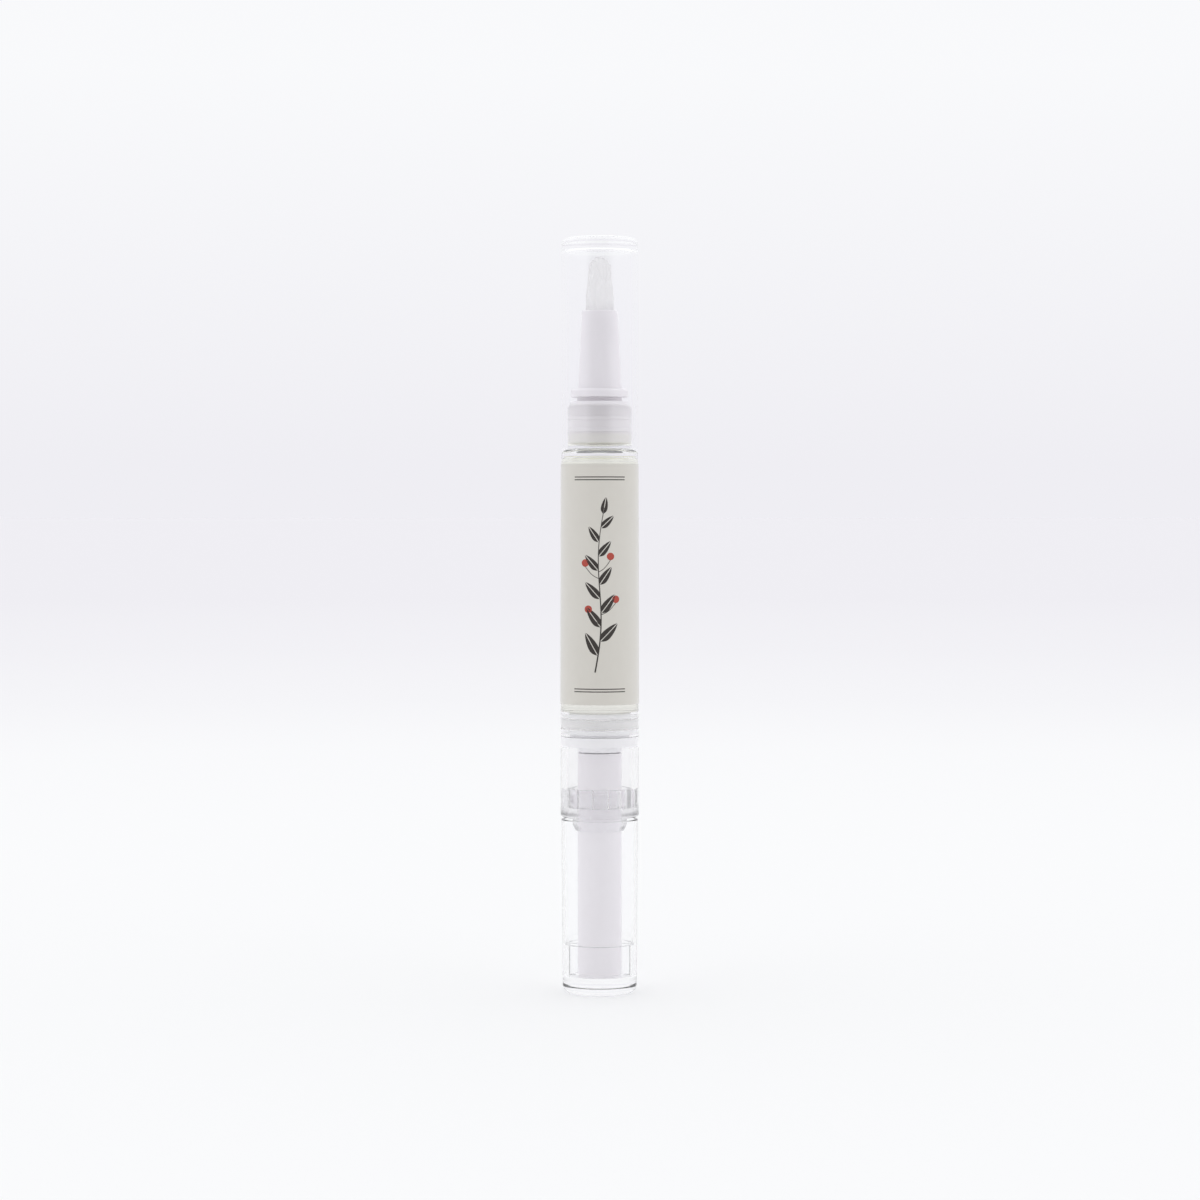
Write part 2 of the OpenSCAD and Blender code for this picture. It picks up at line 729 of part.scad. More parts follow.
// Clear turning knob: solid floor, ribbed socket for the sleeve and a thin wall up to the rim
module knob() {
    foot_r = knob_foot_d / 2;
    rim_r = knob_rim_d / 2;
    socket_r = foot_r - socket_wall;
    step_r = cone_r(socket_top_z, 0, foot_r, knob_h, rim_r) - knob_wall;
    rib_reach = sleeve_d / 2 - slot_depth + fit_gap;
    rim_edge = knob_wall / 3;
    color([0.93, 0.96, 0.97, 0.35]) {
        turned(concat(
            [[0, 0]],
            round_points([foot_r - foot_round, foot_round], foot_round, -90, 0),
            [
                [rim_r, knob_h - rim_edge],
                [rim_r - rim_edge, knob_h],
                [rim_r - knob_wall, knob_h],
                [step_r, socket_top_z],
                [socket_r, socket_top_z],
                [socket_r, knob_floor],
                [0, knob_floor]
            ]
        ));
        for (i = [0 : socket_ribs - 1])
            rotate([0, 0, 360 * i / socket_ribs])
                translate([rib_reach, -rib_w / 2, knob_floor - over])
                    cube([socket_r - rib_reach + over, rib_w, socket_h + over]);
    }
}

cap();
brush_bristles();
brush_collar();
feed_tube();
brush_holder();
barrel();
label();
nail_oil();
piston();
drive_screw();
screw_nut();
driver_sleeve();
ratchet_bush();
click_ring();
knob();
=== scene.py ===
import random
from math import atan2, cos, degrees, hypot, pi, radians, sin, sqrt

import bmesh
import bpy
from mathutils import Matrix, Vector


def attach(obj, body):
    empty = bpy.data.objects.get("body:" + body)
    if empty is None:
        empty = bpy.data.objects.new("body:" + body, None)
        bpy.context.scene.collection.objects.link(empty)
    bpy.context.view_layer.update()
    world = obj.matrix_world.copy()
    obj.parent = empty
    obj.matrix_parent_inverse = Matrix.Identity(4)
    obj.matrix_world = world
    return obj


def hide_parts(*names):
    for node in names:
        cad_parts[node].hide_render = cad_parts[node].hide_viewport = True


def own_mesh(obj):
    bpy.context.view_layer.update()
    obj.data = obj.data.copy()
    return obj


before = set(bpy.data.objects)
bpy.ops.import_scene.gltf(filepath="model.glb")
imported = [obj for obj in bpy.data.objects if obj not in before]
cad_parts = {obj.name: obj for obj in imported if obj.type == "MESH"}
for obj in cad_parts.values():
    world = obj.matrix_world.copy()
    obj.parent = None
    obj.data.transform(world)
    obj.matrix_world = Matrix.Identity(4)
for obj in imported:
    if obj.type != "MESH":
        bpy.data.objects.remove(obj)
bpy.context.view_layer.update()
scene = bpy.context.scene
random.seed(11)
mm = 0.001                # pieces are modelled in millimetres and made metres at the end
slack = 1e-3              # how far a point may lie off a radius or height and still count as on it
print("frame loaded:", len(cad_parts), "nodes")


# node helpers
def addNode(tree, kind, inputs=None, **settings):
    node = tree.nodes.new(kind)
    for name, value in settings.items():
        setattr(node, name, value)
    for name, value in (inputs or {}).items():
        node.inputs[name].default_value = value
    return node


def addRange(tree, value, fromRange, toRange=(0.0, 1.0), **settings):
    node = addNode(tree, "ShaderNodeMapRange", {
        "From Min": fromRange[0], "From Max": fromRange[1],
        "To Min": toRange[0], "To Max": toRange[1]}, **settings)
    tree.links.new(value, node.inputs["Value"])
    return node.outputs["Result"]


def addMath(tree, operation, first, second):
    # first is a socket, second a socket or a plain number
    node = addNode(tree, "ShaderNodeMath", operation=operation)
    tree.links.new(first, node.inputs[0])
    if isinstance(second, float):
        node.inputs[1].default_value = second
    else:
        tree.links.new(second, node.inputs[1])
    return node.outputs["Value"]


def mixColours(tree, factor, first, second):
    mix = addNode(tree, "ShaderNodeMix", data_type="RGBA")
    mix.inputs["A"].default_value = (*first, 1)
    mix.inputs["B"].default_value = (*second, 1)
    tree.links.new(factor, mix.inputs["Factor"])
    return mix.outputs["Result"]


def pickShader(tree, factor, first, second):
    pick = addNode(tree, "ShaderNodeMixShader")
    tree.links.new(factor, pick.inputs["Fac"])
    tree.links.new(first, pick.inputs[1])
    tree.links.new(second, pick.inputs[2])
    return pick.outputs["Shader"]


def heightOf(tree, coords):
    split = addNode(tree, "ShaderNodeSeparateXYZ")
    tree.links.new(coords.outputs["Object"], split.inputs["Vector"])
    return split.outputs["Z"]


# materials
grain = {
    "roughness": 0.55, "tintDetail": 4, "roughDetail": 5, "bumpDetail": 3, "contrast": (0.3, 0.7),
}


def letLightThrough(tree, look, coords, surface):
    # clear plastic and thin film let the room's light through to what they cover
    clear = addNode(tree, "ShaderNodeBsdfTransparent", {"Color": (*look["passes"], 1)})
    lets = clear.outputs["BSDF"]
    rays = addNode(tree, "ShaderNodeLightPath").outputs
    for ray in ("Is Shadow Ray", "Is Diffuse Ray"):
        surface = pickShader(tree, rays[ray], surface, lets)
    if "deep" in look:
        # above a height in millimetres, light that has crossed many surfaces goes straight on
        depth, low = look["deep"]
        far = addMath(tree, "GREATER_THAN", rays["Ray Depth"], depth + 0.5)
        high = addMath(tree, "GREATER_THAN", heightOf(tree, coords), low * mm)
        further = pickShader(tree, addMath(tree, "MULTIPLY", far, high), surface, lets)
        for ray in ("Is Transmission Ray", "Is Reflection Ray"):
            surface = pickShader(tree, rays[ray], surface, further)
    return surface


def makeMaterial(name, look):
    material = bpy.data.materials.new(name)
    material.use_nodes = True
    tree = material.node_tree
    link = tree.links.new
    shader = tree.nodes["Principled BSDF"]
    for socket, value in look["sockets"].items():
        shader.inputs[socket].default_value = value
    coords = addNode(tree, "ShaderNodeTexCoord")
    stretch = look.get("stretch", (1, 1, 1))
    place = addNode(tree, "ShaderNodeMapping", {"Scale": [1 / mm * s for s in stretch]})
    link(coords.outputs["Object"], place.inputs["Vector"])

    def noise(scale, detail):
        texture = addNode(tree, "ShaderNodeTexNoise", {
            "Scale": scale, "Detail": detail, "Roughness": grain["roughness"]})
        link(place.outputs["Vector"], texture.inputs["Vector"])
        return texture.outputs["Fac"]

    mottle = noise(look["mottleScale"], grain["tintDetail"])
    tint = mixColours(tree, mottle, look["colour"], look["mottle"])
    link(tint, shader.inputs["Base Color"])
    wear = noise(look["roughScale"], grain["roughDetail"])
    link(addRange(tree, wear, grain["contrast"], look["rough"]), shader.inputs["Roughness"])
    normal = None
    for height, scale in look["bumps"]:     # millimetres high, features per millimetre
        bump = addNode(tree, "ShaderNodeBump", {"Strength": 1.0, "Distance": height * mm})
        link(noise(scale, grain["bumpDetail"]), bump.inputs["Height"])
        if normal:
            link(normal, bump.inputs["Normal"])
        normal = bump.outputs["Normal"]
    if normal:
        link(normal, shader.inputs["Normal"])
    if "alpha" in look:      # fades towards the tip, by height in millimetres
        low, high, fullAt, least = look["alpha"]
        fade = addRange(tree, heightOf(tree, coords), (low * mm, high * mm), (fullAt, least))
        link(fade, shader.inputs["Alpha"])
    if "passes" in look:
        out = next(n for n in tree.nodes if n.type == "OUTPUT_MATERIAL")
        surface = letLightThrough(tree, look, coords, shader.outputs["BSDF"])
        link(surface, out.inputs["Surface"])
    return material


clearLook = {
    "colour": (0.998, 0.998, 1.0), "mottle": (0.992, 0.992, 0.998), "mottleScale": 0.2,
    "rough": (0.0, 0.03), "roughScale": 1.5, "bumps": [(0.003, 0.22)],
    "passes": (0.985, 0.985, 0.988),
    "sockets": {"Transmission Weight": 1.0, "IOR": 1.49, "Specular IOR Level": 0.5},
}
whiteLook = {
    "colour": (0.915, 0.885, 0.912), "mottle": (0.885, 0.855, 0.882), "mottleScale": 0.6,
    "rough": (0.34, 0.46), "roughScale": 3.0, "bumps": [(0.004, 6.0)],
    "sockets": {
        "IOR": 1.49, "Subsurface Weight": 0.25, "Subsurface Radius": (1.0, 1.0, 1.0),
        "Subsurface Scale": 0.0006},
}
inkLook = {
    "rough": (0.35, 0.5), "roughScale": 5.0, "bumps": [(0.002, 9.0)], "sockets": {"IOR": 1.5},
}
oilLook = {
    "colour": (0.9, 0.9, 0.83), "mottle": (0.89, 0.89, 0.815), "mottleScale": 0.15,
    "rough": (0.0, 0.01), "roughScale": 1.0, "bumps": [],
    "passes": (0.955, 0.96, 0.89), "deep": (2, 86.0),
    "sockets": {"Transmission Weight": 1.0, "IOR": 1.47},
}
materialLooks = {
    "capClear": {**clearLook, "rough": (0.01, 0.05), "deep": (4, 86.0)},
    "barrelClear": {
        **clearLook, "colour": (0.975, 0.972, 0.976), "mottle": (0.965, 0.962, 0.966),
        "deep": (2, 86.0)},
    "bushClear": {**clearLook, "rough": (0.16, 0.28)},
    "knobClear": {**clearLook, "sockets": {**clearLook["sockets"], "IOR": 1.53}},
    "whitePlastic": whiteLook,
    "nozzlePlastic": {**whiteLook, "rough": (0.28, 0.4)},
    "nutPlastic": {**whiteLook, "colour": (0.965, 0.955, 0.97), "mottle": (0.94, 0.93, 0.95)},
    "naturalPlastic": {
        "colour": (0.955, 0.945, 0.965), "mottle": (0.925, 0.915, 0.935), "mottleScale": 0.5,
        "rough": (0.3, 0.42), "roughScale": 2.0, "bumps": [(0.006, 3.0)],
        "sockets": {
            "IOR": 1.51, "Transmission Weight": 0.06, "Subsurface Weight": 0.4,
            "Subsurface Radius": (1.0, 1.0, 1.0), "Subsurface Scale": 0.001},
    },
    "bristleNylon": {
        "colour": (0.985, 0.975, 0.98), "mottle": (0.965, 0.955, 0.955), "mottleScale": 1.6,
        "stretch": (1, 1, 0.3), "rough": (0.3, 0.45), "roughScale": 4.0, "bumps": [(0.002, 8.0)],
        "alpha": (112.5, 121.0, 0.95, 0.6), "sockets": {"IOR": 1.53},
    },
    "labelFilm": {
        "colour": (0.715, 0.69, 0.632), "mottle": (0.69, 0.664, 0.606), "mottleScale": 0.7,
        "rough": (0.36, 0.48), "roughScale": 2.5, "bumps": [(0.004, 9.0), (0.01, 0.5)],
        "passes": (0.7, 0.69, 0.66),
        "sockets": {
            "IOR": 1.47, "Sheen Weight": 0.4, "Sheen Roughness": 0.5,
            "Sheen Tint": (0.9, 0.93, 1.0, 1.0)},
    },
    "inkDark": {
        **inkLook, "colour": (0.022, 0.017, 0.015), "mottle": (0.045, 0.036, 0.03),
        "mottleScale": 5.0},
    "inkRed": {
        **inkLook, "colour": (0.42, 0.045, 0.03), "mottle": (0.5, 0.09, 0.06), "mottleScale": 3.0},
    "oilPale": oilLook,
    "filmClear": {
        **oilLook, "colour": (0.985, 0.985, 0.965), "mottle": (0.98, 0.98, 0.955),
        "passes": (0.99, 0.99, 0.98), "deep": (4, 86.0)},
    "filmPale": {
        **oilLook, "colour": (0.96, 0.965, 0.9), "mottle": (0.955, 0.96, 0.89),
        "passes": (0.97, 0.975, 0.93), "deep": (4, 86.0)},
}
materials = {name: makeMaterial(name, look) for name, look in materialLooks.items()}
print("materials made:", len(materials))

# modelling helpers
rounding = {"segments": 5, "wideSegments": 12, "wideFrom": 1.0, "weld": 1e-5}


def outlineMesh(points):
    # a chain of points (radius, height, rounding) in the XZ plane, closed unless both its ends
    # lie on the axis
    bm = bmesh.new()
    verts = [bm.verts.new((p[0], 0, p[1])) for p in points]
    for a, b in zip(verts, verts[1:] + verts[:1]):
        if a.co.x > 0 or b.co.x > 0:
            bm.edges.new((a, b))
    for size in sorted({p[2] for p in points if len(p) > 2}):
        corners = [v for v, p in zip(verts, points) if len(p) > 2 and p[2] == size]
        wide = size >= rounding["wideFrom"]
        bmesh.ops.bevel(
            bm, geom=corners, offset=size, offset_type="OFFSET", profile=0.5, material=-1,
            segments=rounding["wideSegments" if wide else "segments"], affect="VERTICES")
    return bm


def turnOutline(bm, turn=360, steps=192):
    bmesh.ops.spin(
        bm, geom=bm.verts[:] + bm.edges[:], cent=(0, 0, 0), axis=(0, 0, 1), dvec=(0, 0, 0),
        angle=radians(turn), steps=steps, use_merge=turn == 360)
    bmesh.ops.remove_doubles(bm, verts=bm.verts[:], dist=rounding["weld"])
    return bm


def turnedPiece(points, steps=192):
    return turnOutline(outlineMesh(points), steps=steps)


def settleOrder(elements, key):
    # bmesh leaves its elements in another order each run, so they are put in one that stays
    for i, element in enumerate(sorted(elements, key=key)):
        element.index = i
    elements.sort()


def finishPiece(name, bm, material, body, slot, stands=(), sharp=38, weighted=True):
    bmesh.ops.recalc_face_normals(bm, faces=bm.faces[:])
    for face in bm.faces:
        face.smooth = True
    for edge in bm.edges:
        edge.smooth = edge.calc_face_angle(0) < radians(sharp)
    bmesh.ops.scale(bm, vec=(mm, mm, mm), verts=bm.verts[:])
    settleOrder(bm.verts, lambda v: tuple(v.co))
    settleOrder(bm.edges, lambda e: sorted(v.index for v in e.verts))
    settleOrder(bm.faces, lambda f: sorted(v.index for v in f.verts))
    mesh = bpy.data.meshes.new(name)
    bm.to_mesh(mesh)
    bm.free()
    mesh.materials.append(materials[material])
    piece = bpy.data.objects.new(name, mesh)
    scene.collection.objects.link(piece)
    if weighted:
        flatten = piece.modifiers.new("evenShading", "WEIGHTED_NORMAL")
        flatten.keep_sharp = True
    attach(piece, body)
    if stands:
        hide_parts(*stands)
    print("made", name, len(mesh.polygons), "faces")
    return piece


def coneRadius(z, z0, r0, z1, r1):
    return r0 + (r1 - r0) * (z - z0) / (z1 - z0)


def addedVerts(made):
    return [g for g in made["geom"] if isinstance(g, bmesh.types.BMVert)]


# cap
cap = {
    "mouth": 90.1, "top": 125.0, "ceiling": 123.0, "radius": 6.3, "bore": 5.47,
    "round": 1.1, "innerRound": 0.55, "edge": 0.12, "gateRadius": 0.6, "gateDepth": 0.12,
}
capMesh = turnedPiece([
    (0, cap["ceiling"]),
    (cap["bore"], cap["ceiling"], cap["innerRound"]),
    (cap["bore"], cap["mouth"], cap["edge"]),
    (cap["radius"], cap["mouth"], cap["edge"]),
    (cap["radius"], cap["top"], cap["round"]),
    (cap["gateRadius"] + cap["gateDepth"], cap["top"]),
    (cap["gateRadius"], cap["top"] - cap["gateDepth"]),
    (0, cap["top"] - cap["gateDepth"]),
])
finishPiece("capShell", capMesh, "capClear", "cap", "cap_clear", ["cap"])

# brush: nozzle and bristles
nozzle = {
    "plugFoot": 91.0, "plugRadius": 3.8, "plugBore": 3.0, "plugWeb": 96.65, "plugRound": 0.25,
    "ribRadius": 3.98, "ribWidth": 0.7, "ribs": (92.92, 94.968), "ribRound": 0.12,
    "seat": 97.4, "seatRadius": 4.95, "groove": 98.0, "grooveRadius": 3.7, "discRound": 0.14,
    "flange": 98.7, "flangeRadius": 4.8, "flangeTop": 100.05, "flangeRound": 0.45,
    "footRadius": 3.65, "mouth": 113.0, "mouthRadius": 3.0, "coneRound": 0.2, "edge": 0.1,
    "bore": 2.45, "boreFoot": 103.0, "boreRound": 0.12, "feedBore": 0.87,
}


def nozzleOutline(n):
    points = [
        (n["plugBore"], n["plugFoot"], n["edge"]), (n["plugRadius"], n["plugFoot"], n["plugRound"])]
    for z in n["ribs"]:
        points += [
            (n["plugRadius"], z), (n["ribRadius"], z, n["ribRound"]),
            (n["ribRadius"], z + n["ribWidth"], n["ribRound"]),
            (n["plugRadius"], z + n["ribWidth"])]
    return points + [
        (n["plugRadius"], n["seat"]),
        (n["seatRadius"], n["seat"], n["edge"]),
        (n["seatRadius"], n["groove"], n["discRound"]),
        (n["grooveRadius"], n["groove"], n["edge"]),
        (n["grooveRadius"], n["flange"], n["edge"]),
        (n["flangeRadius"], n["flange"], n["discRound"]),
        (n["flangeRadius"], n["flangeTop"], n["flangeRound"]),
        (n["footRadius"], n["flangeTop"], n["coneRound"]),
        (n["mouthRadius"], n["mouth"], n["coneRound"]),
        (n["bore"], n["mouth"], n["boreRound"]),
        (n["bore"], n["boreFoot"]),
        (n["feedBore"], n["boreFoot"]),
        (n["feedBore"], n["plugWeb"]),
        (n["plugBore"], n["plugWeb"]),
    ]


nozzleMesh = turnedPiece(nozzleOutline(nozzle))
finishPiece(
    "brushNozzle", nozzleMesh, "nozzlePlastic", "barrel", "white_plastic", ["brush_holder"])

brush = {
    "count": 620, "root": 105.6, "mouth": 113.0, "tip": 122.0, "dome": 1.3, "unevenness": 0.35,
    "coreRadius": 0.98, "rootRadius": 2.28, "tipRadius": 1.78, "golden": 137.508,
    "thick": 0.066, "thin": 0.03, "taper": 1.5, "sides": 5, "cuts": 5,
    "belly": 0.07, "bellySpan": 1.3, "stray": 0.13, "strayFade": 0.6,
}


def bristleTemplate(b):
    bm = bmesh.new()
    bmesh.ops.create_cone(bm, cap_ends=True, segments=b["sides"], radius1=1, radius2=1, depth=1)
    bmesh.ops.translate(bm, vec=(0, 0, 0.5), verts=bm.verts[:])
    long = [e for e in bm.edges if abs(e.verts[0].co.z - e.verts[1].co.z) > 0.5]
    bmesh.ops.subdivide_edges(bm, edges=long, cuts=b["cuts"], use_grid_fill=True)
    mesh = bpy.data.meshes.new("bristle")
    bm.to_mesh(mesh)
    bm.free()
    return mesh


def brushMesh(b):
    template = bristleTemplate(b)
    size = len(template.vertices)
    core, ring = b["coreRadius"] ** 2, b["rootRadius"] ** 2 - b["coreRadius"] ** 2
    bm = bmesh.new()
    for i in range(b["count"]):
        share = (i + 0.5) / b["count"]
        angle = radians(i * b["golden"])
        away = Vector((cos(angle), sin(angle)))
        root = away * sqrt(core + ring * share)
        tip = away * (b["tipRadius"] * sqrt(share))
        stray = Vector((random.uniform(-1, 1), random.uniform(-1, 1))) * b["stray"]
        tip += stray * (1 - share * b["strayFade"])
        top = b["tip"] - b["dome"] * share - random.random() * b["unevenness"]
        bm.from_mesh(template)
        bm.verts.ensure_lookup_table()
        for v in bm.verts[len(bm.verts) - size:]:
            z = b["root"] + (top - b["root"]) * v.co.z
            out = max(0, (z - b["mouth"]) / (top - b["mouth"]))
            bend = out * out * (3 - 2 * out)
            swell = b["belly"] * sin(pi * min(1, out * b["bellySpan"])) * (1 - out)
            centre = root.lerp(tip, bend) * (1 + swell)
            thick = b["thick"] + (b["thin"] - b["thick"]) * out ** b["taper"]
            v.co = (centre.x + v.co.x * thick, centre.y + v.co.y * thick, z)
    bpy.data.meshes.remove(template)
    return bm


tuft = finishPiece(
    "brushTuft", brushMesh(brush), "bristleNylon", "barrel", "bristle_nylon", ["brush_bristles"],
    sharp=60, weighted=False)
tuft.visible_shadow = False      # fine nylon filaments pass light on to each other
tuft.visible_diffuse = False

# barrel, label and oil
barrel = {
    "tail": 29.3, "tailRadius": 6.5, "tailBore": 5.4, "tailRound": 0.45, "step": 42.6,
    "stepRound": 0.06, "chamber": 5.2, "roof": 88.0, "roofRound": 0.3, "roofTop": 88.7,
    "throatRound": 0.2, "shoulder": 90.0, "shoulderRadius": 6.35, "shoulderRound": 0.7,
    "neckRadius": 5.3, "neckFillet": 0.12, "neckBore": 4.0, "neckTop": 97.4, "neckEdge": 0.3,
    "bead": 96.3, "beadHalf": 0.35, "beadRise": 0.06, "edge": 0.1,
}


def barrelOutline(b):
    return [
        (b["tailBore"], b["tail"], b["edge"]), (b["tailRadius"], b["tail"], b["tailRound"]),
        (b["shoulderRadius"], b["shoulder"], b["shoulderRound"]),
        (b["neckRadius"], b["shoulder"], b["neckFillet"]),
        (b["neckRadius"], b["bead"] - b["beadHalf"]),
        (b["neckRadius"] + b["beadRise"], b["bead"]),
        (b["neckRadius"], b["bead"] + b["beadHalf"]),
        (b["neckRadius"], b["neckTop"] - b["neckEdge"]),
        (b["neckRadius"] - b["neckEdge"], b["neckTop"]),
        (b["neckBore"], b["neckTop"], b["edge"]),
        (b["neckBore"], b["roofTop"], b["throatRound"]), (b["chamber"], b["roof"], b["roofRound"]),
        (b["chamber"], b["step"], b["stepRound"]), (b["tailBore"], b["step"], b["stepRound"]),
    ]


def barrelRadius(z):
    return coneRadius(
        z, barrel["tail"], barrel["tailRadius"], barrel["shoulder"], barrel["shoulderRadius"])


barrelMesh = turnedPiece(barrelOutline(barrel))
finishPiece("barrelTube", barrelMesh, "barrelClear", "barrel", "barrel_clear", ["barrel"])

label = {
    "foot": 48.1, "top": 87.7, "inner": 0.02, "outer": 0.085, "edge": 0.02, "wrap": 330,
    "steps": 240, "inkThick": 0.009, "stripWidth": 0.3,
}


def labelMesh(l):
    rFoot, rTop = barrelRadius(l["foot"]), barrelRadius(l["top"])
    bm = outlineMesh([
        (rFoot + l["inner"], l["foot"]), (rFoot + l["outer"], l["foot"], l["edge"]),
        (rTop + l["outer"], l["top"], l["edge"]), (rTop + l["inner"], l["top"])])
    start = Matrix.Rotation(radians(90 + (360 - l["wrap"]) / 2), 3, "Z")
    bmesh.ops.rotate(bm, cent=(0, 0, 0), matrix=start, verts=bm.verts[:])
    turnOutline(bm, l["wrap"], l["steps"])
    bmesh.ops.holes_fill(bm, edges=bm.edges[:], sides=0)
    return bm


finishPiece("labelWrap", labelMesh(label), "labelFilm", "barrel", "label_film", ["label"])

# The print on the label: a plain sprig with berries between double rules, drawn flat as
# (across, 0, height) and then wrapped
sprig = {
    "foot": 53.5, "length": 27.0, "lean": 1.5, "sway": 0.55, "stemWidth": 0.24, "stemEnd": 0.1,
    "cuts": 40, "leaves": 11, "leafFrom": 0.1, "leafSpread": 0.86, "leafLength": 4.7,
    "leafEnd": 2.9, "leafWidth": 1.55, "leafEndWidth": 1.0, "leafTurn": 38, "leafSides": 28,
    "leafBias": 0.45, "leafPower": 5, "veinGap": 0.13,
    "berries": ((0.34, -2.1), (0.4, 2.5), (0.62, -2.2), (0.66, 2.0)),      # up the stem, across
    "berryRadius": 0.62, "berrySides": 24, "berryRise": 1.9, "bowStart": 0.05, "bowCuts": 8,
    "bowSag": 0.35, "rules": (50.3, 50.75, 85.05, 85.5), "ruleWidth": 0.16, "ruleHalf": 4.4,
    "ruleCuts": 12,
}


def stemPoint(s, t):
    across = -s["lean"] / 2 + s["lean"] * t + s["sway"] * sin(2 * pi * t)
    return Vector((across, 0, s["foot"] + s["length"] * t))


def stemTurn(s, t, step=0.01):
    along = stemPoint(s, t + step) - stemPoint(s, t - step)
    return atan2(along.x, along.z)      # lean from the vertical


def addStroke(bm, points, widths):
    verts = [bm.verts.new(p) for p in points]
    edges = [bm.edges.new(pair) for pair in zip(verts, verts[1:])]
    far = addedVerts(bmesh.ops.extrude_edge_only(bm, edges=edges))
    far.sort(key=lambda v: min(range(len(points)), key=lambda i: (points[i] - v.co).length))
    for i, (a, b) in enumerate(zip(verts, far)):
        along = (points[min(len(points) - 1, i + 1)] - points[max(0, i - 1)]).normalized()
        side = Vector((along.z, 0, -along.x)) * widths[i] / 2
        a.co += side
        b.co -= side


def addLeaf(bm, s, base, turn, length, width):
    # one pointed leaf, cut in two along its vein
    for half in (1, -1):
        leaf = bmesh.new()
        bmesh.ops.create_circle(leaf, cap_ends=True, segments=s["leafSides"], radius=1)
        for v in leaf.verts:
            t = v.co.x
            swell = (1 - s["leafBias"] * t) * (1 - abs(t) ** s["leafPower"])
            v.co = (v.co.y * width / 2 * swell, 0, (t + 1) * length / 2)
        bmesh.ops.bisect_plane(
            leaf, geom=leaf.verts[:] + leaf.edges[:] + leaf.faces[:],
            plane_co=(half * s["veinGap"] / 2, 0, 0), plane_no=(half, 0, 0), clear_inner=True)
        turned = Matrix.Rotation(turn, 3, "Y")
        for v in leaf.verts:
            v.co = turned @ v.co + base
        part = bpy.data.meshes.new("leaf")
        leaf.to_mesh(part)
        leaf.free()
        bm.from_mesh(part)
        bpy.data.meshes.remove(part)


def wrapPrint(bm, l):
    reach = max(abs(v.co.x) for v in bm.verts)
    count = int(reach / l["stripWidth"]) + 1
    for i in range(-count, count + 1):
        bmesh.ops.bisect_plane(
            bm, geom=bm.verts[:] + bm.edges[:] + bm.faces[:],
            plane_co=(i * l["stripWidth"], 0, 0), plane_no=(1, 0, 0))
    bmesh.ops.triangulate(bm, faces=bm.faces[:])
    middle = barrelRadius((l["foot"] + l["top"]) / 2)
    for v in bm.verts:
        r = barrelRadius(v.co.z) + l["outer"]
        a = v.co.x / middle
        v.co = (r * sin(a), -r * cos(a), v.co.z)
    bmesh.ops.recalc_face_normals(bm, faces=bm.faces[:])
    for face in bm.faces:      # a sheet has no inside, so its faces are turned outwards one by one
        centre = face.calc_center_median()
        if face.normal.dot(Vector((centre.x, centre.y, 0))) < 0:
            face.normal_flip()
    for v in addedVerts(bmesh.ops.extrude_face_region(bm, geom=bm.faces[:])):
        out = Vector((v.co.x, v.co.y, 0)).normalized()
        v.co += out * l["inkThick"]
    return bm


def sprigMesh(s):
    bm = bmesh.new()
    steps = [i / s["cuts"] for i in range(s["cuts"] + 1)]
    widths = [s["stemWidth"] + (s["stemEnd"] - s["stemWidth"]) * t for t in steps]
    addStroke(bm, [stemPoint(s, t) for t in steps], widths)
    last = s["leaves"] - 1
    for i in range(s["leaves"]):
        t = s["leafFrom"] + s["leafSpread"] * i / last
        length = s["leafLength"] + (s["leafEnd"] - s["leafLength"]) * t
        width = s["leafWidth"] + (s["leafEndWidth"] - s["leafWidth"]) * t
        side = 0 if i == last else 1 if i % 2 else -1
        turn = stemTurn(s, t) + side * radians(s["leafTurn"])
        addLeaf(bm, s, stemPoint(s, t), turn, length, width)
    bows = s["bowCuts"]
    for t, across in s["berries"]:
        start = stemPoint(s, t - s["bowStart"])
        end = stemPoint(s, t) + Vector((across, 0, s["berryRadius"]))
        bow = [
            start.lerp(end, i / bows) + Vector((0, 0, -s["bowSag"] * sin(pi * i / bows)))
            for i in range(bows + 1)]
        addStroke(bm, bow, [s["stemEnd"]] * len(bow))
    middle = s["ruleCuts"] // 2
    for z in s["rules"]:
        rule = [
            Vector((s["ruleHalf"] * (i / middle - 1), 0, z)) for i in range(s["ruleCuts"] + 1)]
        addStroke(bm, rule, [s["ruleWidth"]] * len(rule))
    return wrapPrint(bm, label)


def berryMesh(s):
    bm = bmesh.new()
    lie = Matrix.Rotation(pi / 2, 4, "X")
    for t, across in s["berries"]:
        centre = stemPoint(s, t) + Vector((across, 0, s["berryRadius"] * s["berryRise"]))
        bmesh.ops.create_circle(
            bm, cap_ends=True, segments=s["berrySides"], radius=s["berryRadius"],
            matrix=Matrix.Translation(centre) @ lie)
    return wrapPrint(bm, label)


printShade = {"sharp": 30, "weighted": False}
finishPiece("labelSprig", sprigMesh(sprig), "inkDark", "barrel", "label_film", **printShade)
finishPiece("labelBerries", berryMesh(sprig), "inkRed", "barrel", "label_film", **printShade)

